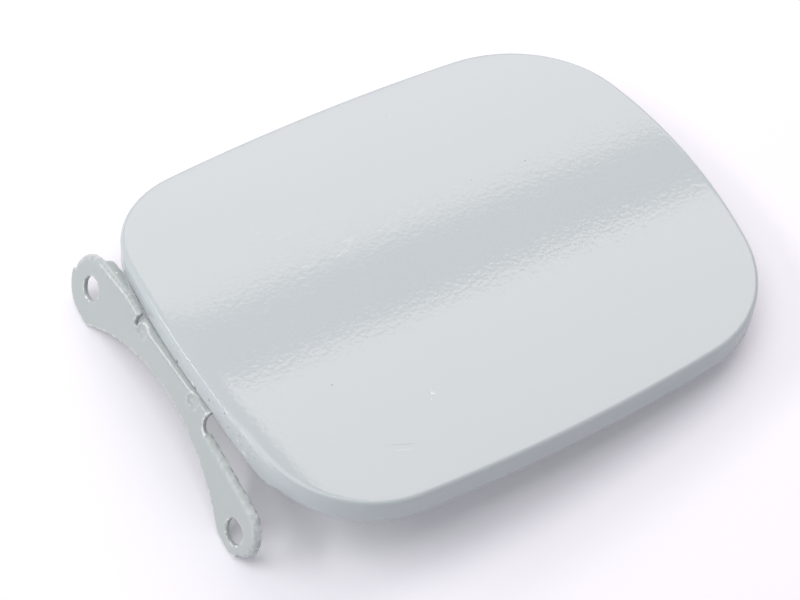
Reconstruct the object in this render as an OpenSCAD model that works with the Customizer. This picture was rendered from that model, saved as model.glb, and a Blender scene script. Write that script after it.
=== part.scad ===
// Fuel filler flap for a car: a pressed steel door on a two-ear hinge plate.
// Millimetres. The flap is drawn as it stands on a table, opened to its stop:
// the tips of the two ears and one corner of the rim touch the table.
// The door is built in its own frame first: X runs from the hinge edge to the
// latch edge, Y along the hinge pin, Z out of the painted face, with the top of
// the crown at zero. rest() then turns it, and puts the origin in the middle
// of the two fixing holes, on the mounting face.

/* [Door outline] */
// Length from the hinge edge to the latch edge
door_l = 160; // [140:1:190]
// Width along the hinge
door_w = 130; // [116:1:150]
// How far the hinge edge bulges
hinge_bow = 6; // [3:0.5:9]
// How far the latch edge bulges
latch_bow = 10; // [5:0.5:14]
// How far the two side edges bulge
side_bow = 4.6; // [2:0.2:8]
// Slant of the latch edge, at each end
latch_skew = 2; // [0:0.2:4]
// Slant of the hinge edge, at each end
hinge_skew = 0.8; // [0:0.2:2]
// Corner radius at the latch edge, far end
latch_far_r = 37.5; // [30:0.5:42]
// Corner radius at the hinge edge, far end
hinge_far_r = 28.5; // [27:0.5:36]
// Corner radius at the hinge edge, near end
hinge_near_r = 32.5; // [27:0.5:38]
// Corner radius at the latch edge, near end
latch_near_r = 34; // [28:0.5:42]

/* [Door skin] */
// Radius of the crown, whose axis runs from hinge to latch
crown_r = 540; // [400:10:1500]
// Sheet thickness of the outer skin
skin_t = 0.8; // [0.6:0.1:1.2]
// Depth of the rim under the top of the skin
rim_h = 7; // [5:0.5:10]
// Outside radius of the bend between skin and rim
rim_bend_r = 2; // [1.4:0.1:3]

/* [Inner panel] */
// Sheet thickness of the inner panel
panel_t = 0.7; // [0.5:0.1:1]
// Gap between the rim and the panel's flange
flange_gap = 0.05; // [0.02:0.01:0.1]
// How far the panel's flange shows under the rim
flange_lip = 0.6; // [0.2:0.1:1]
// Drop from the skin's top to the panel's raised middle
middle_drop = 2.4; // [2:0.1:3]
// Drop from the skin's top to the panel's channel
channel_drop = 5.4; // [4:0.1:6]
// Inset of the channel's inner side from the rim
channel_in = 19; // [16:0.5:20]
// Run of the slope between channel and middle
slope_w = 6; // [4:0.5:7]
// Diameter of the paint drain holes
drain_d = 8; // [5:0.5:10]
// Distance of the drain holes from the panel's middle, along and across
drain_x = 34; // [25:1:38]
drain_y = 22; // [15:1:26]

/* [Hinge] */
// Pin diameter
pin_d = 3; // [2.5:0.1:4]
// Running clearance between pin and eye, on the radius
pin_gap = 0.05; // [0.02:0.01:0.1]
// Distance of the pin inboard of the hinge edge
pin_in = 5.95; // [5.6:0.05:6.4]
// Depth of the pin under the skin
pin_drop = 13.1; // [13:0.1:14]
// Middle of the hinge along its pin
hinge_mid = 6.4; // [0:0.2:10]
// Width of the hinge along its pin
hinge_w = 36; // [30:1:44]
// Width of the door's eye between the plate's two eyes
leaf_w = 20; // [16:0.5:24]
// Side gap beside each eye
eye_gap = 0.3; // [0.2:0.05:0.5]
// Sheet thickness of the door leaf
leaf_t = 1.5; // [1:0.1:1.8]
// Length of the leaf's foot on the inner panel
leaf_foot = 9; // [6:0.5:11]
// Diameter and thickness of the pin's heads
head_d = 5; // [4.2:0.1:5.6]
head_t = 1.2; // [0.8:0.1:2]

/* [Hinge plate] */
// Sheet thickness of the plate
plate_t = 1.5; // [1.2:0.1:1.8]
// Distance from the pin to the mounting face
seat_off = 8.7; // [8.4:0.1:10]
// Lean of the plate from square to the door, at the stop
plate_lean = 21.5; // [15:0.5:25]
// Spacing of the two fixing holes
hole_pitch = 83.5; // [76:0.5:92]
// Diameter of the fixing holes
hole_d = 7; // [5:0.1:8]
// Middle of the holes along the pin
plate_mid = 4.5; // [2:0.5:8]
// Middle of the holes below the pin
hole_drop = 10.5; // [10:0.1:12]
// Slant of the row of holes to the pin
plate_skew = 6.5; // [4:0.5:8]
// Radius of the far ear and of the near ear
far_ear_r = 9.4; // [8.6:0.1:10]
near_ear_r = 7.9; // [7.4:0.1:8.6]
// Middle of each ear outside its hole
ear_out = 0.5; // [0:0.1:1]
// Middle of the far ear under its hole, and of the near ear over its hole
far_ear_down = 0.4; // [0:0.1:1]
near_ear_up = 1.8; // [1:0.1:2]
// Outside radius of the lip rolled on arms and ears
lip_r = 2; // [1.9:0.1:2.5]
// Height of the lip over the mounting face
lip_h = 2.1; // [2.1:0.1:3]
// Greatest height of the far arm's flange over the mounting face
flange_h = 4.6; // [3:0.2:5]
// Upper edge of the far arm over the row of holes, and of the near arm
far_top = 11.6; // [11:0.2:12.6]
near_top = 10.2; // [9.6:0.2:10.8]
// Distance of the far arm's shoulder from the middle, and its radius
shoulder_x = 28.5; // [26:0.5:31]
shoulder_r = 5; // [4:0.5:6]
// Where the near arm starts, from the middle
near_neck_x = 17.2; // [16.8:0.1:18]
// Height of the plate's lower edge over the row of holes, in the middle
waist_up = 5.2; // [4:0.2:6]
// Radius of the plate's hollow lower edge, and its shift to the near side
waist_r = 60; // [56:1:70]
waist_shift = 2.5; // [0:0.5:4]
// Sweep of the lip round the far ear and the near ear
far_sweep = 82; // [60:2:110]
near_sweep = 140; // [100:2:150]
// Width of the slit between the tongue and the far arm
slit_w = 1.4; // [1.2:0.1:2.4]
// Radius of the relief at the near neck
relief_r = 2.6; // [2.4:0.1:2.8]
// Depth and width of the two pressed darts, and how far they run below the pin
dart_h = 0.9; // [0.6:0.1:1.1]
dart_w = 5; // [4:0.5:6]
dart_low = 1.8; // [1:0.1:3]

/* [Catch] */
// Sheet thickness of the catch
catch_t = 1.5; // [1:0.1:2]
// Width of the catch
catch_w = 14; // [10:0.5:20]
// Height of the catch under the inner panel
catch_h = 6; // [5:0.2:6.5]
// Length of the catch's foot
catch_foot = 9; // [6:0.5:10]
// Width and height of the window for the lock bolt
window_w = 8; // [5:0.5:9]
window_h = 2.6; // [2:0.1:3]

/* [Hidden] */
$fn = 64;
eps = 0.01;
coat = [0.80, 0.83, 0.82];
corner_steps = 9;
side_steps = 8;
corner_count = 4;
seat_gap = 0.05;

// Door outline, counter-clockwise from the latch edge's far end
hl = door_l/2;
hw = door_w/2;
corners = [
    [hl - latch_bow + latch_skew, hw - side_bow],
    [-hl + hinge_bow + hinge_skew, hw - side_bow],
    [-hl + hinge_bow - hinge_skew, -hw + side_bow],
    [hl - latch_bow - latch_skew, -hw + side_bow]
];
bows = [side_bow, hinge_bow, side_bow, latch_bow];
radii = [latch_far_r, hinge_far_r, hinge_near_r, latch_near_r];

function after(i) = (i + 1)%corner_count;
function before(i) = (i + corner_count - 1)%corner_count;
function angle_of(v) = atan2(v.y, v.x);
function past(a, b) = b < a ? b + 360 : b;

// Radius and centre of the arc that bulges side i, which starts at corner i
function bow_r(i) =
    let (c = norm(corners[after(i)] - corners[i])/2)
    (c*c + bows[i]*bows[i])/(2*bows[i]);
function bow_c(i) =
    let (d = corners[after(i)] - corners[i], out = [d.y, -d.x]/norm(d))
    (corners[i] + corners[after(i)])/2 + out*(bows[i] - bow_r(i));

// Centre of the round that touches both arcs at corner i
function corner_c(i) =
    let (ca = bow_c(before(i)), cb = bow_c(i),
         ra = bow_r(before(i)) - radii[i], rb = bow_r(i) - radii[i],
         d = norm(cb - ca), e = (cb - ca)/d, n = [-e.y, e.x],
         x = (ra*ra - rb*rb + d*d)/(2*d), y = sqrt(ra*ra - x*x),
         p = ca + e*x + n*y, q = ca + e*x - n*y)
    norm(p - corners[i]) < norm(q - corners[i]) ? p : q;

function arc(c, r, a, b, steps) =
    [for (k = [0:steps - 1]) let (t = a + (b - a)*k/steps) c + r*[cos(t), sin(t)]];

// The outline, moved in by d
function outline(d) = [
    for (i = [0:corner_count - 1])
        let (c = corner_c(i), m = bow_c(i),
             a = angle_of(c - bow_c(before(i))), b = past(a, angle_of(c - m)),
             e = past(b, angle_of(corner_c(after(i)) - m)))
        each concat(arc(c, radii[i] - d, a, b, corner_steps), arc(m, bow_r(i) - d, b, e, side_steps))
];

// Height of the crowned skin over a point of the outline's plane
function crown(p) = sqrt(crown_r*crown_r - p.y*p.y) - crown_r;

// A closed ring of the door's surface: the outline moved in and down, and
// shrunk towards the middle
function level(inset, drop, shrink = 1) =
    [for (p = outline(inset)) let (q = p*shrink) [q.x, q.y, crown(q) - drop]];

// A solid through rings that run over the top, round the rim and back below
module loft(rings) {
    n = len(rings[0]);
    last = len(rings) - 1;
    top = n*len(rings);
    points = concat([for (r = rings) each r], [[0, 0, rings[0][0].z - crown(rings[0][0])],
        [0, 0, rings[last][0].z - crown(rings[last][0])]]);
    walls = [for (k = [0:last - 1], i = [0:n - 1])
        let (j = (i + 1)%n, a = k*n + i, b = k*n + j, c = a + n, d = b + n)
        each [[a, b, d], [a, d, c]]];
    caps = [for (i = [0:n - 1]) let (j = (i + 1)%n)
        each [[top, j, i], [top + 1, last*n + i, last*n + j]]];
    polyhedron(points, concat(walls, caps));
}

// Rings round a down-turned edge: the bend, its flange, and back on the inside
function edge_rings(inset, drop, bend, t, depth) = concat(
    [for (a = [0:15:90]) level(inset + bend*(1 - sin(a)), drop + bend*(1 - cos(a)))],
    [level(inset, depth), level(inset + t, depth)],
    [for (a = [90:-30:0]) level(inset + bend - (bend - t)*sin(a), drop + bend - (bend - t)*cos(a))]
);

// Outer skin: a crowned pressing with a down-turned rim
skin_core = 12;
module outer_skin() {
    spread = [0.25, 0.5, 0.75, 1];
    inward = [1, 0.75, 0.5, 0.25];
    color(coat) loft(concat(
        [for (s = spread) level(skin_core, 0, s)],
        [level(skin_core/2, 0)],
        edge_rings(0, 0, rim_bend_r, skin_t, rim_h),
        [level(skin_core/2, skin_t)],
        [for (s = inward) level(skin_core, skin_t, s)]
    ));
}

// Inner panel: a tray inside the rim, with a channel round a raised middle
panel_in = skin_t + flange_gap;
panel_bend_r = 2;
middle_in = channel_in + slope_w;
function slope_rings(t, order) = [
    for (k = order)
        let (s = k/4)
        level(channel_in + slope_w*s, channel_drop + t - (channel_drop - middle_drop)*(1 - cos(180*s))/2)
];
module inner_panel() {
    color(coat) difference() {
        loft(concat(
            [for (s = [0.33, 0.66]) level(middle_in, middle_drop, s)],
            slope_rings(0, [4:-1:0]),
            [level(channel_in/2, channel_drop)],
            edge_rings(panel_in, channel_drop, panel_bend_r, panel_t, rim_h + flange_lip),
            [level(channel_in/2, channel_drop + panel_t)],
            slope_rings(panel_t, [0:4]),
            [for (s = [0.66, 0.33]) level(middle_in, middle_drop + panel_t, s)]
        ));
        for (x = [-drain_x, drain_x], y = [-drain_y, drain_y])
            translate([x, y, -rim_h]) cylinder(d = drain_d, h = rim_h);
    }
}
// Underside of the channel at a distance y from the crown's line
function channel_z(y) = crown([0, y]) - channel_drop - panel_t;

// Hinge eyes, on the pin's axis
pin_x = -hl + pin_in;
pin_z = -pin_drop;
bore_r = pin_d/2 + pin_gap;
leaf_eye_r = bore_r + leaf_t;
plate_eye_r = bore_r + plate_t;

// Flat pieces stood on edge: X and Y of the drawing become X and Z of the door
module along_pin(middle, width) {
    translate([0, middle + width/2, 0]) rotate([90, 0, 0]) linear_extrude(width) children();
}

// Door leaf: a foot on the inner panel, a bend, a leg and a rolled eye
leaf_y = hinge_mid + leaf_w/2;
leaf_top = channel_z(leaf_y) - seat_gap;
leaf_bend_r = leaf_t + 1;
leg_x = pin_x + bore_r;
module hinge_leaf() {
    bend_x = leg_x + leaf_bend_r;
    bend_z = leaf_top - leaf_bend_r;
    color(coat) along_pin(hinge_mid, leaf_w) {
        translate([bend_x - eps, leaf_top - leaf_t]) square([leaf_foot + eps, leaf_t]);
        translate([leg_x, pin_z]) square([leaf_t, bend_z - pin_z + eps]);
        intersection() {
            translate([bend_x, bend_z]) difference() {
                circle(leaf_bend_r);
                circle(leaf_bend_r - leaf_t);
            }
            translate([leg_x, bend_z]) square(leaf_bend_r);
        }
        difference() {
            translate([pin_x, pin_z]) circle(leaf_eye_r);
            translate([pin_x, pin_z]) circle(bore_r);
        }
    }
}

// Catch: a foot on the inner panel and a leg with a window for the lock bolt
catch_top = channel_z(catch_w/2) - seat_gap;
catch_bend_r = catch_t + 1;
catch_x = hl - channel_in + 2;
module catch_plate() {
    leg_out = catch_x + catch_foot + catch_bend_r;
    color(coat) difference() {
        along_pin(0, catch_w) {
            translate([catch_x, catch_top - catch_t]) square([catch_foot + eps, catch_t]);
            translate([leg_out - catch_t, catch_top - catch_h])
                square([catch_t, catch_h - catch_bend_r + eps]);
            intersection() {
                translate([catch_x + catch_foot, catch_top - catch_bend_r]) difference() {
                    circle(catch_bend_r);
                    circle(catch_bend_r - catch_t);
                }
                translate([catch_x + catch_foot, catch_top - catch_bend_r]) square(catch_bend_r);
            }
        }
        translate([leg_out - catch_t - 1, -window_w/2, catch_top - catch_h + 0.9])
            cube([catch_t + 2, window_w, window_h]);
    }
}

// Frame of the plate: x along the pin, y down the plate, z out of the mounting
// face, all from the pin's axis
module on_plate() {
    translate([pin_x, 0, pin_z]) rotate([0, plate_lean, 0]) rotate([-90, 0, 90]) children();
}
// A point given along the row of holes and below it, from the row's middle
function in_row(p) = [plate_mid + p.x*cos(plate_skew) + p.y*sin(plate_skew),
    hole_drop - p.x*sin(plate_skew) + p.y*cos(plate_skew)];

// Overlap of the plate's flat and its lips
join = 0.2;

// Rolled lip in section, outside and inside: a strip of the flat, a quarter bend
// and a flange down to the height high
lip_low = seat_off - lip_r;
bend_steps = 6;
function lip_side(r, high) = concat([[-join, r]],
    [for (k = [0:bend_steps]) r*[sin(90*k/bend_steps), cos(90*k/bend_steps)]], [[r, lip_r - high]]);
side_count = bend_steps + 3;
ring_count = 2*side_count;
function lip_ring(high) =
    let (inside = lip_side(lip_r - plate_t, high))
    concat(lip_side(lip_r, high), [for (k = [side_count - 1:-1:0]) inside[k]]);

// A lip swept through stations [x, y, outward direction, height] in the row's frame
module lip(stations) {
    points = [for (s = stations, p = lip_ring(s[3]))
        let (q = in_row([s.x + p.x*cos(s.z), s.y + p.x*sin(s.z)])) [q.x, q.y, lip_low + p.y]];
    last = (len(stations) - 1)*ring_count;
    walls = [for (k = [0:ring_count:last - 1], i = [0:ring_count - 1])
        let (a = k + i, b = k + (i + 1)%ring_count, c = a + ring_count, d = b + ring_count)
        each [[a, d, b], [a, c, d]]];
    caps = [for (i = [0:side_count - 2])
        let (j = ring_count - 1 - i)
        each [[i, j - 1, j], [i, i + 1, j - 1], [last + i, last + j, last + j - 1], [last + i, last + j - 1, last + i + 1]]];
    polyhedron(points, concat(walls, caps));
}

// Direction of the outside tangent to two rounds, seen from their centres
function tangent(a, ra, b, rb) = angle_of(b - a) - acos((ra - rb)/norm(b - a));
function on_round(c, r, t) = c + r*[cos(t), sin(t)];

// One arm's flat part, on the side 1 or -1: root, neck, shoulder, ear inside its lip, foot
module arm_flat(side, root, neck, shoulder, ear, r, sweep) {
    t = tangent(shoulder, shoulder_r, ear, r);
    inset = lip_r + join/2;
    rs = shoulder_r - inset;
    top = shoulder.y - rs;
    foot = t + sweep + 6;
    edge = concat([[0, root], [neck, root], [neck, top]],
        t > -90 ? arc(shoulder, rs, -89, t - 1, 4) : [],
        [on_round(shoulder, rs, t - 1)],
        arc(ear, r - inset, t + 1, foot, 16), arc(ear, r, foot, 105, 8),
        [[ear.x - r, ear.y + r], [0, 0]]);
    polygon([for (p = edge) in_row([side*p.x, p.y])]);
}

// Stations of an arm's lip: neck, round the shoulder, straight, round the ear
function around(centre, r, from, to, high) =
    let (n = ceil(abs(to - from)/8))
    [for (k = [0:n]) let (a = from + (to - from)*k/n) [centre.x + r*cos(a), centre.y + r*sin(a), a, high]];
function arm_lip(neck, shoulder, ear, r, sweep, high) =
    let (t = tangent(shoulder, shoulder_r, ear, r), rs = shoulder_r - lip_r,
         from = on_round(shoulder, rs, t), to = on_round(ear, r - lip_r, t), mid = from + (to - from)*0.6)
    concat(shoulder.x > neck ? [[neck + join, shoulder.y - rs, -90, lip_h]] : [],
        t > -90 ? around(shoulder, rs, -90, t, lip_h) : [[from.x + 0.02*(to.x - from.x), from.y + 0.02*(to.y - from.y), t, lip_h]],
        [[mid.x, mid.y, t, high], [to.x - eps*(to.x - from.x), to.y - eps*(to.y - from.y), t, high]],
        around(ear, r - lip_r, t, t + sweep, lip_h));

// Both arms: the far one has a shoulder, the near one runs straight to its neck
far_neck_x = hinge_mid + hinge_w/2 - plate_mid + 1 + slit_w;
near_root_x = hinge_w/2 - hinge_mid + plate_mid - 1;
far_shoulder = [shoulder_x, shoulder_r - far_top];
far_ear = [hole_pitch/2 + ear_out, far_ear_down];
near_shoulder = [near_neck_x, shoulder_r - near_top];
near_ear = [hole_pitch/2 + ear_out, -near_ear_up];

module plate_sheet() {
    tongue_side = hinge_mid - hinge_w/2;
    difference() {
        union() {
            arm_flat(1, far_shoulder.y - 1.5, far_neck_x, far_shoulder, far_ear, far_ear_r, far_sweep);
            arm_flat(-1, near_shoulder.y - 4.4, near_root_x, near_shoulder, near_ear, near_ear_r, near_sweep);
            translate([tongue_side, tongue_low + join]) square([hinge_w, hole_drop - tongue_low]);
            // corner between the tongue and the near arm
            polygon(concat(arc([tongue_side - relief_r, relief_low], relief_r, 0, 90, 6),
                [[tongue_side - relief_r, relief_low + relief_r], [tongue_side - relief_r, corner_low],
                 [tongue_side + 1, corner_low], [tongue_side + 1, relief_low + 0.1]]));
        }
        translate(in_row([-waist_shift, waist_r - waist_up])) circle(waist_r, $fn = 160);
        for (s = [-1, 1]) translate(in_row([s*hole_pitch/2, 0])) circle(d = hole_d);
    }
}
near_lip = arm_lip(near_neck_x, near_shoulder, near_ear, near_ear_r, near_sweep, lip_h);
module arms() {
    translate([0, 0, seat_off - plate_t]) linear_extrude(plate_t) plate_sheet();
    lip(arm_lip(far_neck_x, far_shoulder, far_ear, far_ear_r, far_sweep, flange_h));
    lip([for (k = [len(near_lip) - 1:-1:0]) let (s = near_lip[k]) [-s.x, s.y, 180 - s.z, s[3]]]);
}

// Tongue: the middle of the plate, bent in to the pin, with an eye at each end
tongue_top = -plate_eye_r;
tongue_bend_r = plate_t + 1;
tongue_low = tongue_top + tongue_bend_r;
relief_low = hole_drop - near_top + near_neck_x*sin(plate_skew) - relief_r + 0.5;
corner_low = relief_low + relief_r + lip_r + join;
eye_w = (hinge_w - leaf_w)/2 - eye_gap;
// Drawings stood on edge across the tongue: x is w, out of the mounting face
module across(middle, width) {
    translate([middle - width/2, 0, 0]) rotate([0, 90, 0]) linear_extrude(width) mirror([1, 0]) children();
}
module tongue_corner(inner_r) {
    intersection() {
        translate([seat_off - tongue_bend_r, tongue_low]) difference() {
            circle(tongue_bend_r);
            circle(inner_r);
        }
        translate([seat_off - tongue_bend_r, tongue_top]) square(tongue_bend_r);
    }
}
module tongue() {
    across(hinge_mid, hinge_w) {
        tongue_corner(tongue_bend_r - plate_t);
        translate([seat_off - plate_t, tongue_low]) square([plate_t, 2*join]);
    }
    for (s = [-1, 1]) across(hinge_mid + s*(hinge_w - eye_w)/2, eye_w) {
        translate([0, tongue_top]) square([seat_off - tongue_bend_r + eps, plate_t]);
        difference() {
            circle(plate_eye_r);
            circle(bore_r);
        }
    }
}

// A dart is a groove pressed in from the mounting face, from the bend down to a
// round end, with its bump on the back
dart_r = (dart_w*dart_w/4 + dart_h*dart_h)/(2*dart_h);
module darts(r) {
    for (u = [hinge_mid - hinge_w/2 + dart_w/2 + 4, hinge_mid + hinge_w/2 - dart_w/2])
        translate([u, dart_low - dart_w/2, seat_off + dart_r - dart_h]) {
            sphere(r);
            rotate([90, 0, 0]) cylinder(r = r, h = tongue_bend_r);
        }
}
module dart_bumps() {
    intersection() {
        darts(dart_r + plate_t);
        across(hinge_mid, hinge_w) {
            tongue_corner(0.1);
            translate([seat_off - tongue_bend_r, tongue_low]) square([tongue_bend_r, hole_drop - tongue_low]);
        }
    }
}

module hinge_plate() {
    color(coat) on_plate() difference() {
        union() {
            arms();
            tongue();
            dart_bumps();
        }
        darts(dart_r);
    }
}

// Pin with a formed head at each end
module hinge_pin() {
    color(coat) translate([pin_x, hinge_mid, pin_z]) rotate([90, 0, 0]) {
        cylinder(d = pin_d, h = hinge_w + 2*eye_gap, center = true);
        for (s = [-1, 1]) translate([0, 0, s*(hinge_w/2 + eye_gap + head_t/2)])
            cylinder(d = head_d, h = head_t, center = true);
    }
}

// A point of the plate in the door's frame, from the row's frame
function plate_point(p, w) =
    let (q = in_row(p))
    [pin_x - q.y*sin(plate_lean) - w*cos(plate_lean), q.x, pin_z - q.y*cos(plate_lean) + w*sin(plate_lean)];

// The three points that touch the table: two ears and the far latch corner
foot_w = seat_off - plate_t;
far_foot = plate_point([far_ear.x, far_ear.y + far_ear_r], foot_w);
near_foot = plate_point([-near_ear.x, near_ear.y + near_ear_r], foot_w);
rim_foot_xy = corner_c(0) + (latch_far_r - panel_in)*[cos(45), sin(45)];
rim_foot = [rim_foot_xy.x, rim_foot_xy.y, crown(rim_foot_xy) - rim_h - flange_lip];
table = cross(far_foot - rim_foot, near_foot - rim_foot);

// Turn the table level, with the origin between the holes on the mounting face
module rest() {
    rotate([atan2(table.y, table.z), -atan2(table.x, norm([table.y, table.z])), 0])
        translate(-plate_point([0, 0], seat_off)) children();
}

rest() outer_skin();
rest() inner_panel();
rest() hinge_leaf();
rest() catch_plate();
rest() hinge_plate();
rest() hinge_pin();
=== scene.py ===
# %% [markdown]
# # A fuel filler flap in grey primer
#
# This notebook dresses a pressed-steel fuel filler flap for its picture. The construction is fixed
# and comes from the CAD model: here the pressings get a smooth mesh, softened edges and their real
# finish. The flap lies on a white table, painted side up, opened to its stop.

# %% Load the fixed frame
import math

import bmesh
import bpy
from mathutils import Matrix, Vector


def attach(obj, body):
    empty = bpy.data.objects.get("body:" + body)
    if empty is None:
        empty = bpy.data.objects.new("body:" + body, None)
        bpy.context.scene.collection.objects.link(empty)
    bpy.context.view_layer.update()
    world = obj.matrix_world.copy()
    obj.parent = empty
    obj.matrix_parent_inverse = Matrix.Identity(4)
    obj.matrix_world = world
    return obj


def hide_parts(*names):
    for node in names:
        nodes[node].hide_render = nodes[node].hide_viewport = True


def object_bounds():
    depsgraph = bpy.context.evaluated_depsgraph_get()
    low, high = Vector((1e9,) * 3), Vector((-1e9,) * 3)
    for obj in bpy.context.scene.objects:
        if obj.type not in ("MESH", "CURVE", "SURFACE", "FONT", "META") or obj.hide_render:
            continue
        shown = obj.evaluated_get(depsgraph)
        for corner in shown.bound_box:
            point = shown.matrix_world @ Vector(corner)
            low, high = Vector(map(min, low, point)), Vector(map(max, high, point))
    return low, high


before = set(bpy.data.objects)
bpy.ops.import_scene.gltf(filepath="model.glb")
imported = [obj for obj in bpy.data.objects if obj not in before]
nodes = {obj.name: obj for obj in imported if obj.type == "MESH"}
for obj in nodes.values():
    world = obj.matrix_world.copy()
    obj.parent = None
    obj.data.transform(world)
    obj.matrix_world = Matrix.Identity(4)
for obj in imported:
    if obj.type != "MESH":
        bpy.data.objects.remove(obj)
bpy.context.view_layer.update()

MM = 0.001


# %% [markdown]
# ## The door's own frame
#
# The door is easiest to model lying flat: X runs from the hinge edge to the latch edge, Y along the
# pin, and the top of the crown is at zero. The CAD turns that frame until three points touch the
# table and puts the origin between the fixing holes. The same turn is used here, once at the end of
# each pressing.

# %% From the door's frame to the table
PLATE_ORIGIN = Vector((-85.9929, 4.5, -19.6808)) * MM
TABLE_TURN = (math.radians(-3.57806), math.radians(5.37869))
to_table = (Matrix.Rotation(TABLE_TURN[1], 4, "Y") @ Matrix.Rotation(TABLE_TURN[0], 4, "X")
            @ Matrix.Translation(-PLATE_ORIGIN))
to_door = to_table.inverted()
table_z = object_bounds()[0][2]
print("table at", round(table_z / MM, 3), "mm")

# %% [markdown]
# ## The outline
#
# The door's outline is four shallow arcs joined by four corner rounds, and no two corners are
# alike. Each corner's centre is where the two neighbouring arcs, moved in by the corner radius,
# cross. The sizes are those of the CAD model, in millimetres.

# %% Outline of the door
CORNERS = [Vector((72, 60.4)), Vector((-73.2, 60.4)), Vector((-74.8, -60.4)), Vector((68, -60.4))]
BOWS = [4.6, 6.0, 4.6, 10.0]
RADII = [37.5, 28.5, 32.5, 34.0]
CROWN_R = 540.0
CORNER_STEPS, SIDE_STEPS = 14, 36


def bow(i):
    a, b = CORNERS[i], CORNERS[(i + 1) % 4]
    half = (b - a).length / 2
    radius = (half ** 2 + BOWS[i] ** 2) / (2 * BOWS[i])
    out = Vector(((b - a).y, -(b - a).x)).normalized()
    return radius, (a + b) / 2 + out * (BOWS[i] - radius)


def corner_centre(i):
    (ra, ca), (rb, cb) = bow(i - 1), bow(i)
    ra, rb, line = ra - RADII[i], rb - RADII[i], cb - ca
    x = (ra ** 2 - rb ** 2 + line.length_squared) / (2 * line.length)
    along = line.normalized()
    side = Vector((-along.y, along.x)) * math.sqrt(ra ** 2 - x ** 2)
    return min(ca + along * x + side, ca + along * x - side, key=lambda p: (p - CORNERS[i]).length)


def outline(inset):
    points = []
    for i in range(4):
        centre, (radius, middle) = corner_centre(i), bow(i)
        start = math.atan2(*(centre - bow(i - 1)[1]).yx)
        bend = math.atan2(*(centre - middle).yx)
        end = math.atan2(*(corner_centre((i + 1) % 4) - middle).yx)
        bend += math.tau * (bend < start)
        end += math.tau * (end < bend)
        for c, r, a, b, n in ((centre, RADII[i] - inset, start, bend, CORNER_STEPS),
                              (middle, radius - inset, bend, end, SIDE_STEPS)):
            points += [c + r * Vector((math.cos(a + (b - a) * k / n), math.sin(a + (b - a) * k / n)))
                       for k in range(n)]
    return points


around = len(outline(0))
xs = [p.x for p in outline(0)]
print("outline points:", around, "length:", round(max(xs) - min(xs), 1), "mm")

# %% [markdown]
# ## Small helpers for modelling by hand
#
# Operators act on what is selected, so each step first selects the ring or face that it shapes.
# `press` extrudes a sheet ring by ring, each ring slid onto the outline moved in by some distance,
# and fills the last ring with a grid of quads. `bend` gives the rings of a fold.

# %% Helpers for the pressings
def edit(piece, mode="EDIT", elements="VERT"):
    bpy.context.view_layer.objects.active = piece
    bpy.ops.object.mode_set(mode=mode)
    if mode == "EDIT":
        bpy.ops.mesh.select_mode(type=elements)


def start_ring(name, inset, height):
    bpy.ops.object.select_all(action="DESELECT")
    bpy.ops.mesh.primitive_circle_add(vertices=around, radius=0.07)
    piece = bpy.context.object
    piece.name = piece.data.name = name
    to_outline(piece, list(piece.data.vertices), inset, height)
    return piece


def to_outline(piece, ring, inset, height):
    for vertex, point in zip(ring, outline(inset)):
        vertex.co = (point.x * MM, point.y * MM, height * MM)


def last_ring(piece):
    return list(piece.data.vertices)[-around:]


def add_ring(piece, inset, height):
    """Extrude the selected open ring and slide the new one onto the outline."""
    edit(piece, elements="EDGE")
    bpy.ops.mesh.extrude_edges_move(TRANSFORM_OT_translate={"value": (0, 0, 0)})
    edit(piece, "OBJECT")
    to_outline(piece, last_ring(piece), inset, height)


def select_ring(piece):
    """Select the edges of the last ring, and nothing else."""
    first = len(piece.data.vertices) - around
    edit(piece, elements="EDGE")
    bpy.ops.mesh.select_all(action="DESELECT")
    work = bmesh.from_edit_mesh(piece.data)
    for e in work.edges:
        e.select_set(all(v.index >= first for v in e.verts))
    bmesh.update_edit_mesh(piece.data)


def press(name, rings):
    """Extrude a sheet ring by ring from its lower edge, and fill the last ring with a grid."""
    piece = start_ring(name, *rings[0])
    for inset, height in rings[1:]:
        select_ring(piece)
        add_ring(piece, inset, height)
    select_ring(piece)
    bpy.ops.mesh.fill_grid(span=CORNER_STEPS + SIDE_STEPS, offset=CORNER_STEPS // 2, use_interp_simple=True)
    edit(piece, "OBJECT")
    outward(piece)
    face_up(piece)
    crown(piece)
    return piece


def bend(inset, drop, radius, steps):
    """Rings up and round a fold, from the flange to the sheet."""
    angles = [math.radians(90 - 90 * k / steps) for k in range(steps + 1)]
    return [(inset + radius * (1 - math.sin(a)), -drop - radius * (1 - math.cos(a))) for a in angles]


def add_modifier(piece, kind, **values):
    bpy.ops.object.select_all(action="DESELECT")
    piece.select_set(True)
    bpy.context.view_layer.objects.active = piece
    modifier = piece.modifiers.new(kind.lower(), kind)
    for name, value in values.items():
        setattr(modifier, name, value)
    bpy.ops.object.modifier_apply(modifier=modifier.name)


def outward(piece):
    edit(piece)
    bpy.ops.mesh.select_all(action="SELECT")
    bpy.ops.mesh.remove_doubles(threshold=0.00001)
    bpy.ops.mesh.normals_make_consistent(inside=False)
    edit(piece, "OBJECT")


def crown(piece):
    for vertex in piece.data.vertices:
        y = vertex.co.y / MM
        vertex.co.z += (math.sqrt(CROWN_R ** 2 - y ** 2) - CROWN_R) * MM


def smooth(piece, degrees=35):
    bpy.ops.object.select_all(action="DESELECT")
    piece.select_set(True)
    bpy.context.view_layer.objects.active = piece
    bpy.ops.object.shade_smooth_by_angle(angle=math.radians(degrees))


def face_up(piece):
    """A sheet that is still open points its faces up and out."""
    middle = min(piece.data.polygons, key=lambda f: f.center.xy.length)
    if middle.normal.z < 0:
        piece.data.flip_normals()


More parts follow.
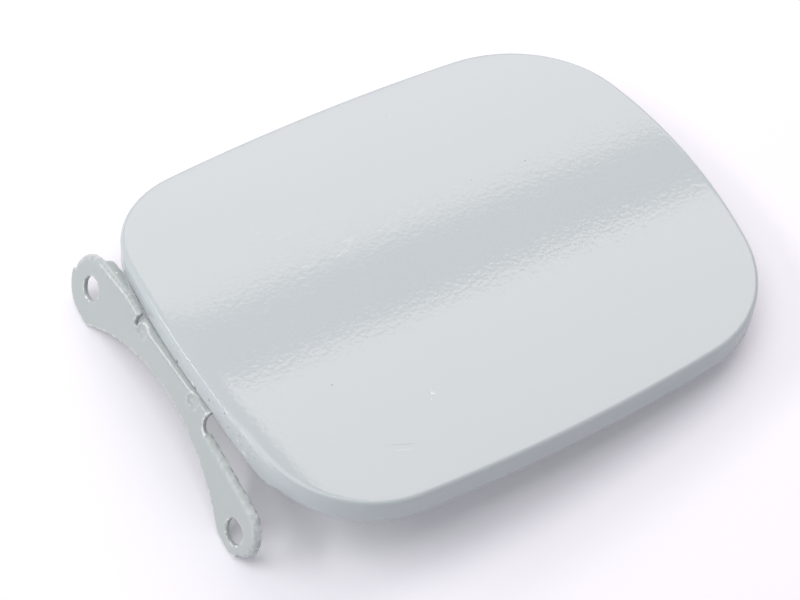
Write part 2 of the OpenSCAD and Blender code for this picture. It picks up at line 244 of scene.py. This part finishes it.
# %% [markdown]
# ## The outer skin
#
# The real skin is a 0.8 mm pressing with a crown across its width and a rim turned down all round.
# It starts as a ring of vertices at the rim's lower edge. The rim is extruded up, round the tight
# fold and in over the top, ring by ring, because a bevel can't turn the corners of the grid that
# fills the top. Along the hinge edge the sheet rolls off by a third of a millimetre, which is what
# darkens a strip there, and near the end of the hinge the hem hangs down to a ragged end. Solidify
# gives the thickness last, so both faces stay parallel.

# %% Outer skin
RIM_H, RIM_BEND, SKIN_T = 7.0, 1.2, 0.8
ROLL_OFF, ROLL_W = 0.3, 8.0
skin = press("door_skin", [(0, -RIM_H), (0, -RIM_H + 1.2), (0, -RIM_H + 3)] + bend(0, 0, RIM_BEND, 7)
             + [(d, 0) for d in (2.0, 3.0, 4.2, 5.8, 7.6, 9.6)])
hinge_bow_r, hinge_bow_c = bow(1)
for vertex in skin.data.vertices:
    inside = hinge_bow_r - (vertex.co.xy / MM - hinge_bow_c).length
    vertex.co.z -= ROLL_OFF * max(0.0, 1 - inside / ROLL_W) ** 2 * MM
print("skin top and rim:", len(skin.data.polygons), "faces")

# %% Ragged end of the hem
# Each pair is a place along the hinge edge and how far the hem hangs below the rim there, in mm.
HEM = [(-42, 0.0), (-38.6, 0.2), (-37.4, 1.5), (-34, 2.2), (-28, 2.0), (-22, 1.5), (-16, 0.8), (-12, 0.0)]
for vertex in skin.data.vertices:
    x, y, z = vertex.co / MM
    if x < -70 and z < -6:
        for (y0, d0), (y1, d1) in zip(HEM, HEM[1:]):
            if y0 <= y < y1:
                vertex.co.z -= (d0 + (d1 - d0) * (y - y0) / (y1 - y0)) * MM
add_modifier(skin, "SOLIDIFY", thickness=SKIN_T * MM, offset=-1, use_even_offset=True)
add_modifier(skin, "BEVEL", width=0.18 * MM, segments=2, limit_method="ANGLE", angle_limit=math.radians(50))
smooth(skin)
skin.data.transform(to_table)
print("skin:", len(skin.data.polygons), "faces")

# %% [markdown]
# ## The inner panel
#
# Behind the skin sits a second, thinner pressing: a flat channel runs round a raised middle that
# carries the skin, and four drain holes let the dip paint run out. It is made like the skin: the
# flange from its lower edge up, the channel and the slope by extruding inwards, then the middle.

# %% Inner panel
PANEL_IN, PANEL_T, FLANGE_LOW = 0.85, 0.7, 7.6
CHANNEL_DROP, MIDDLE_DROP, CHANNEL_IN, SLOPE_W = 5.4, 2.4, 19.0, 6.0
rises = [(1 - math.cos(math.pi * k / 6)) / 2 for k in range(7)]
slope = [(CHANNEL_IN + SLOPE_W * k / 6, -CHANNEL_DROP + (CHANNEL_DROP - MIDDLE_DROP) * rise)
         for k, rise in enumerate(rises)]
panel = press("door_inner_panel", [(PANEL_IN, -FLANGE_LOW)] + bend(PANEL_IN, CHANNEL_DROP, 2.0, 6)
              + [(10, -CHANNEL_DROP), (18, -CHANNEL_DROP)] + slope)
add_modifier(panel, "SOLIDIFY", thickness=PANEL_T * MM, offset=-1, use_even_offset=True)
print("inner panel:", len(panel.data.polygons), "faces")

# %% Drain holes
HOLE_R = 4.0
for x in (-34, 34):
    for y in (-22, 22):
        bpy.ops.object.select_all(action="DESELECT")
        bpy.ops.mesh.primitive_cylinder_add(vertices=48, radius=HOLE_R * MM, depth=0.02,
                                            location=(x * MM, y * MM, 0))
        drill = bpy.context.object
        add_modifier(panel, "BOOLEAN", operation="DIFFERENCE", object=drill, solver="EXACT")
        bpy.data.objects.remove(drill)
add_modifier(panel, "BEVEL", width=0.15 * MM, segments=2, limit_method="ANGLE",
             angle_limit=math.radians(50))
smooth(panel)
panel.data.transform(to_table)
print("inner panel with holes:", len(panel.data.polygons), "faces")

# %% [markdown]
# ## Leaf, catch, pin and hinge plate
#
# These are thick steel blanks, punched and bent. Their CAD solids have the right form, but razor
# edges and a faceted lip, which a punched and dip-coated blank never has. Each gets a copy with its
# loose triangles merged, remeshed evenly at a fraction of the edge radius, and relaxed a little, so
# that every edge turns over in about 0.3 mm, as under a film of paint.

# %% Softened blanks
def soften(name, node, voxel, rounds):
    bpy.ops.object.select_all(action="DESELECT")
    piece = nodes[node].copy()
    piece.data = nodes[node].data.copy()
    bpy.context.scene.collection.objects.link(piece)
    piece.name = piece.data.name = name
    bpy.context.view_layer.objects.active = piece
    edit(piece)
    bpy.ops.mesh.select_all(action="SELECT")
    bpy.ops.mesh.remove_doubles(threshold=0.000002)
    edit(piece, "OBJECT")
    add_modifier(piece, "REMESH", mode="VOXEL", voxel_size=voxel * MM, adaptivity=0.0)
    add_modifier(piece, "SMOOTH", factor=0.5, iterations=rounds)
    smooth(piece, 180)
    print(name + ":", len(piece.data.polygons), "faces")
    return piece


plate = soften("two_ear_plate", "hinge_plate", 0.3, 6)
leaf = soften("door_leaf", "hinge_leaf", 0.25, 4)
catch = soften("lock_catch", "catch_plate", 0.2, 4)
pin = soften("formed_pin", "hinge_pin", 0.2, 5)

# %% Pieces ride on their bodies
for piece, node, body in ((skin, "outer_skin", "door"), (panel, "inner_panel", "door"),
                          (leaf, "hinge_leaf", "door"), (catch, "catch_plate", "door"),
                          (plate, "hinge_plate", "bracket"), (pin, "hinge_pin", "bracket")):
    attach(piece, body)
    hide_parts(node)
print("six pieces placed")

# %% [markdown]
# ## Colours and nodes
#
# Colours are written as the hex values a paint program shows and turned to linear light by one
# function. A second small function adds a shader node with its settings and links, so a material
# reads from top to bottom.

# %% Two helpers for materials
def linear(code, alpha=1.0):
    parts = [int(code[k:k + 2], 16) / 255 for k in (1, 3, 5)]
    return tuple(c / 12.92 if c <= 0.04045 else ((c + 0.055) / 1.055) ** 2.4 for c in parts) + (alpha,)


def add_node(tree, kind, links=None, **values):
    node = tree.nodes.new(kind)
    for name, value in values.items():
        if hasattr(node, name):
            setattr(node, name, value)
        else:
            node.inputs[name.replace("_", " ")].default_value = value
    for socket, source in (links or {}).items():
        tree.links.new(source, node.inputs[socket])
    return node


def new_material(name):
    material = bpy.data.materials.new(name)
    material.use_nodes = True
    material.node_tree.nodes.clear()
    return material, material.node_tree


# %% [markdown]
# ## The primer
#
# The whole flap was dipped: cathodic electrocoat is a thin, even film of epoxy with a soft gloss
# and an orange peel a little over a millimetre across. Epoxy has an index of about 1.5. The eye
# sees one pale grey-green, slow faint shifts in it, and reflections whose edges ripple with the
# peel. Mapping turns the pattern into the door's own frame, so marks are placed in millimetres.

# %% Electrocoat primer
def electrocoat(name, light, dark, peel_mm=1.2, peel_depth=0.028, gloss=0.07):
    material, tree = new_material(name)
    place = add_node(tree, "ShaderNodeTexCoord").outputs["Object"]
    door = add_node(tree, "ShaderNodeMapping", {"Vector": place}, Location=to_door.to_translation(),
                    Rotation=to_door.to_euler())
    slow = add_node(tree, "ShaderNodeTexNoise", {"Vector": place}, Scale=22.0, Detail=3.0, Roughness=0.5)
    shade = add_node(tree, "ShaderNodeMix", {"Factor": slow.outputs["Fac"]}, data_type="RGBA")
    shade.inputs["A"].default_value = linear(light)
    shade.inputs["B"].default_value = linear(dark)
    peel = add_node(tree, "ShaderNodeTexNoise", {"Vector": place}, Scale=1000 / peel_mm,
                    Detail=2.0, Roughness=0.4)
    wave = add_node(tree, "ShaderNodeTexNoise", {"Vector": place}, Scale=60.0, Detail=1.0, Roughness=0.4)
    low = add_node(tree, "ShaderNodeBump", {"Height": wave.outputs["Fac"]}, Strength=1.0, Distance=0.000012)
    bump = add_node(tree, "ShaderNodeBump", {"Height": peel.outputs["Fac"], "Normal": low.outputs["Normal"]},
                    Strength=1.0, Distance=peel_depth * MM)
    surface = add_node(tree, "ShaderNodeBsdfPrincipled", {"Base Color": shade.outputs["Result"],
                       "Normal": bump.outputs["Normal"]}, Roughness=gloss, IOR=1.5)
    add_node(tree, "ShaderNodeOutputMaterial", {"Surface": surface.outputs["BSDF"]})
    return material, tree, door, shade, surface


primer, *_ = electrocoat("electrocoat_primer", "#C8D1D1", "#C5CFCF")
print("primer for the panel and the CAD nodes")

# %% [markdown]
# ## Primer on bent sheet
#
# The thick blanks are rougher than the skin, so their primer has less gloss. On their punched and
# rolled edges the film is thin and rubs pale in flecks; the same pale is also a painted highlight
# along those rounded edges. Pointiness finds the edges on the even mesh, and a noise of about a
# millimetre and a half breaks the pale line up.

# %% Primer with worn edges and painted highlights
bracket_primer, tree, door, shade, surface = electrocoat(
    "electrocoat_on_bent_sheet", "#C2C9C7", "#B6BFBC", gloss=0.2)
form = add_node(tree, "ShaderNodeNewGeometry")
edges = add_node(tree, "ShaderNodeMapRange", {"Value": form.outputs["Pointiness"]},
                 From_Min=0.506, From_Max=0.532)
speck = add_node(tree, "ShaderNodeTexNoise", {"Vector": door.outputs["Vector"]},
                 Scale=700.0, Detail=2.0)
worn_and_highlit = add_node(tree, "ShaderNodeMapRange", {"Value": speck.outputs["Fac"]},
                From_Min=0.46, From_Max=0.57)
patch = add_node(tree, "ShaderNodeMath", {0: edges.outputs["Result"], 1: worn_and_highlit.outputs["Result"]},
                 operation="MULTIPLY")
# Pale on the edges is partly wear of the thin film and partly a painted highlight along the rounded edges.
pale = add_node(tree, "ShaderNodeMix", {"Factor": patch.outputs[0], "A": shade.outputs["Result"]},
                data_type="RGBA")
pale.inputs["B"].default_value = linear("#F3F5F4")
tree.links.new(pale.outputs["Result"], surface.inputs["Base Color"])
print("worn edges on the blanks")

# %% [markdown]
# ## Marks of use and painted shade on the skin
#
# The flap has lain among other parts. Each mark is a small mask in the door's own millimetres: a
# Mapping of the texture kind brings the mark to the origin and to unit size, and the distance from
# there makes a soft-edged dab. Rubbed primer turns chalky and paler. A chip shows darker steel. The
# two darkest dabs, low on the hinge rim, are painted shade where a slot under the hem is not modelled.

# %% Marks
def dab(tree, door, centre, size, turn=0.0):
    local = add_node(tree, "ShaderNodeMapping", {"Vector": door}, vector_type="TEXTURE",
                     Location=Vector(centre) * MM, Rotation=(0, 0, math.radians(turn)),
                     Scale=Vector(size) * MM)
    away = add_node(tree, "ShaderNodeVectorMath", {0: local.outputs["Vector"]}, operation="LENGTH")
    return add_node(tree, "ShaderNodeMapRange", {"Value": away.outputs["Value"]},
                    From_Min=1.0, From_Max=0.5)


def tinted(tree, colour, mask, code, amount=1.0):
    part = add_node(tree, "ShaderNodeMath", {0: mask}, operation="MULTIPLY")
    part.inputs[1].default_value = amount
    mix = add_node(tree, "ShaderNodeMix", {"Factor": part.outputs[0], "A": colour}, data_type="RGBA")
    mix.inputs["B"].default_value = linear(code)
    return mix.outputs["Result"]


skin_primer, tree, door, shade, surface = electrocoat("electrocoat_with_marks", "#C8D1D1", "#C5CFCF")
door, colour = door.outputs["Vector"], shade.outputs["Result"]
# Each mark: its centre, its half sizes, its turn in degrees, its colour and how strong it is.
MARKS = [
    ((-30.2, -38.4, -1.4), (0.55, 0.18, 3), 50, "#F4F6F6", 1.0),
    ((-29.9, -38.9, -1.4), (0.45, 0.16, 3), -10, "#F4F6F6", 1.0),
    ((-31.4, -40.0, -1.4), (0.25, 0.2, 3), 0, "#EEF0F0", 0.8),
    ((37.4, 16.9, 0), (0.35, 0.22, 3), 30, "#6E7472", 0.8),
    ((20.0, 18.2, 0), (0.25, 0.2, 3), 0, "#7E8482", 0.7),
    ((-51.6, -24.1, 0), (0.32, 0.22, 3), 0, "#747A78", 0.8),
    ((-45.4, -48.1, -2), (5.0, 0.16, 3), -23, "#A9B1B1", 0.5),
    ((-46.0, -49.6, -2), (3.0, 0.12, 3), -20, "#E3E8E8", 0.5),
    ((-77.6, 40.6, -2.4), (0.6, 1.1, 1.2), 20, "#5B615F", 0.9),
    ((15.0, 52.0, -2.5), (0.4, 0.2, 3), 10, "#DFE4E4", 0.8),
    # The two darkest dabs here, low on the hinge rim, are painted shade: they darken the rim where a slot
    # under the hem is not modelled.
    ((-79.9, 6.2, -6.4), (1.5, 0.5, 0.9), 0, "#4C5250", 0.9),
    ((-80.0, -2.2, -6.2), (1.5, 0.9, 0.8), 0, "#F2F5F4", 0.9),
    ((-80.0, -3.6, -6.6), (1.5, 0.6, 0.6), 0, "#4C5250", 0.9),
    ((-79.3, -27.0, -7.8), (1.5, 1.4, 0.6), 0, "#EEF1F0", 0.8),
]
for centre, size, turn, code, amount in MARKS:
    mark = dab(tree, door, centre, size, turn).outputs["Result"]
    colour = tinted(tree, colour, mark, code, amount)
print(len(MARKS), "marks")

# %% Rubbed patches and flecks on the hinge edge
streaks = add_node(tree, "ShaderNodeMapping", {"Vector": door}, Scale=(210, 620, 210), Rotation=(0, 0, 0.5))
rubbed = add_node(tree, "ShaderNodeTexNoise", {"Vector": streaks.outputs["Vector"]}, Scale=1.0,
                  Detail=4.0, Roughness=0.65)
rub_mask = add_node(tree, "ShaderNodeMapRange", {"Value": rubbed.outputs["Fac"]},
                    From_Min=0.58, From_Max=0.84)
RUBBED = [((-12, 15, 0), (46, 5, 9), 3, 0.6), ((-34, 22, 0), (26, 14, 9), -20, 0.35),
          ((24, 6, 0), (26, 8, 9), -12, 0.4), ((-52, 2, 0), (24, 14, 9), 20, 0.25)]
for centre, size, turn, amount in RUBBED:
    patch = add_node(tree, "ShaderNodeMath", {0: rub_mask.outputs["Result"],
                     1: dab(tree, door, centre, size, turn).outputs["Result"]}, operation="MULTIPLY")
    colour = tinted(tree, colour, patch.outputs[0], "#E9EDED", amount)
flecks = add_node(tree, "ShaderNodeTexNoise", {"Vector": door}, Scale=900.0, Detail=1.0)
for low, high, code in ((0.70, 0.74, "#F2F4F4"), (0.30, 0.27, "#5F6563")):
    fleck = add_node(tree, "ShaderNodeMapRange", {"Value": flecks.outputs["Fac"]},
                     From_Min=low, From_Max=high)
    edge = dab(tree, door, (-80, -20, -3), (2.0, 40, 5))
    patch = add_node(tree, "ShaderNodeMath",
                     {0: fleck.outputs["Result"], 1: edge.outputs["Result"]}, operation="MULTIPLY")
    colour = tinted(tree, colour, patch.outputs[0], code, 0.8)
tree.links.new(colour, surface.inputs["Base Color"])
print("rubbed patches and flecks")

# %% Finishes go on
for piece, coat in ((skin, skin_primer), (panel, primer), (leaf, bracket_primer), (catch, bracket_primer),
                    (plate, bracket_primer), (pin, bracket_primer)):
    piece.data.materials.clear()
    piece.data.materials.append(coat)
for node in nodes.values():
    node.data.materials.clear()
    node.data.materials.append(primer)
print("primer on six pieces")

# %% [markdown]
# ## Camera
#
# The photograph was taken from about two thirds of a metre, above the near corner of the hinge side.

# %% Camera
camera_data = bpy.data.cameras.new("camera")
camera = bpy.data.objects.new("camera", camera_data)
bpy.context.scene.collection.objects.link(camera)
bpy.context.scene.camera = camera
camera_data.sensor_width = 36
camera_data.lens = 103.6
camera_data.clip_start = 0.01
camera.location = Vector((-128.42, -297.41, 515.24)) * MM
camera.rotation_euler = (0.603191, -0.023883, -0.564933)
print("camera at", [round(v, 3) for v in camera.location])

# %% [markdown]
# ## Table and light
#
# The table is plain white paper. What the camera sees of it gets a little plain white added, and
# more further out, so that it stays pale while the flap's shadow still falls on it. The smaller amount
# near the flap is painted shade around it. Seen from below it is clear, so that the underside of the
# flap can be looked at.

# %% Table
bpy.ops.object.select_all(action="DESELECT")
bpy.ops.mesh.primitive_plane_add(size=6.0, location=(0, 0, table_z))
table = bpy.context.object
table.name = "table"
material, tree = new_material("white_table")
matt = add_node(tree, "ShaderNodeBsdfDiffuse", Color=linear("#F0F0F4"))
path = add_node(tree, "ShaderNodeLightPath")
place = add_node(tree, "ShaderNodeTexCoord").outputs["Object"]
away = add_node(tree, "ShaderNodeVectorMath", {0: place}, operation="LENGTH")
# Less white near the flap and more further out: painted shade around the flap on the table.
white = add_node(tree, "ShaderNodeMapRange", {"Value": away.outputs["Value"]},
                 From_Min=0.35, From_Max=2.0, To_Min=0.15, To_Max=0.8)
painted_shade_share = add_node(tree, "ShaderNodeMath", {0: path.outputs["Is Camera Ray"], 1: white.outputs["Result"]},
                 operation="MULTIPLY")
flat = add_node(tree, "ShaderNodeEmission", {"Strength": painted_shade_share.outputs[0]}, Color=linear("#FBFAFE"))
both = add_node(tree, "ShaderNodeAddShader", {0: matt.outputs[0], 1: flat.outputs[0]})
side = add_node(tree, "ShaderNodeNewGeometry")
clear = add_node(tree, "ShaderNodeBsdfTransparent")
seen = add_node(tree, "ShaderNodeMixShader",
                {0: side.outputs["Backfacing"], 1: both.outputs[0], 2: clear.outputs[0]})
add_node(tree, "ShaderNodeOutputMaterial", {"Surface": seen.outputs[0]})
table.data.materials.append(material)
print("table", table.name)

# %% [markdown]
# ## Light
#
# Glossy primer shows the lamps. Two softboxes with a gap between them give the dark band across the
# crown, whose borders are the boxes' edges. A third hangs above the hinge side, a long narrow lamp
# behind it draws the line along the fold, and a low one from the left lights the rim's wall. The room
# itself is dim, but the camera sees it white.


# %% Lamps and world
def softbox(name, place, aim, size, power, colour="#FFFFFF"):
    data = bpy.data.lights.new(name, "AREA")
    data.shape = "RECTANGLE"
    data.size, data.size_y = size
    data.energy = power
    data.color = linear(colour)[:3]
    lamp = bpy.data.objects.new(name, data)
    bpy.context.scene.collection.objects.link(lamp)
    lamp.location = place
    lamp.rotation_euler = (Vector(aim) - Vector(place)).to_track_quat("-Z", "Y").to_euler()
    return lamp


def ceiling_box(name, low, high, height, radiance, colour):
    """A level softbox between two corners, as bright as radiance, where 1 is white."""
    size = (high[0] - low[0], high[1] - low[1])
    middle = ((low[0] + high[0]) / 2, (low[1] + high[1]) / 2)
    power = radiance * math.pi * size[0] * size[1]
    lamp = softbox(name, (*middle, height), (*middle, 0), size, power, colour)
    lamp.rotation_euler = (0, 0, 0)
    return lamp


ceiling_box("front_box", (0.45, 0.10), (1.50, 0.705), 1.0, 2.8, "#FFF4F4")
ceiling_box("back_box", (0.40, 0.95), (1.80, 2.05), 1.0, 2.0, "#FFF4F4")
ceiling_box("top_box", (-0.70, -0.35), (0.40, 0.65), 1.2, 1.75, "#FFFDFD")
softbox("key", (-0.95, 0.74, 0.92), (0.05, 0.0, 0.0), (1.1, 0.16), 6.6, "#FFFEFD")
softbox("low_fill", (-1.2, 0.25, 0.10), (-0.08, 0.0, 0.0), (0.7, 0.12), 2.0, "#FFFDFB")
world = bpy.data.worlds.new("studio")
bpy.context.scene.world = world
world.use_nodes = True
tree = world.node_tree
room = tree.nodes["Background"]
room.inputs["Color"].default_value = linear("#F6F2FF")
path = add_node(tree, "ShaderNodeLightPath")
level = add_node(tree, "ShaderNodeMapRange", {"Value": path.outputs["Is Camera Ray"]},
                 To_Min=0.36, To_Max=1.0)
tree.links.new(level.outputs["Result"], room.inputs["Strength"])
bpy.context.scene.view_settings.view_transform = "Standard"
print("lamps set")
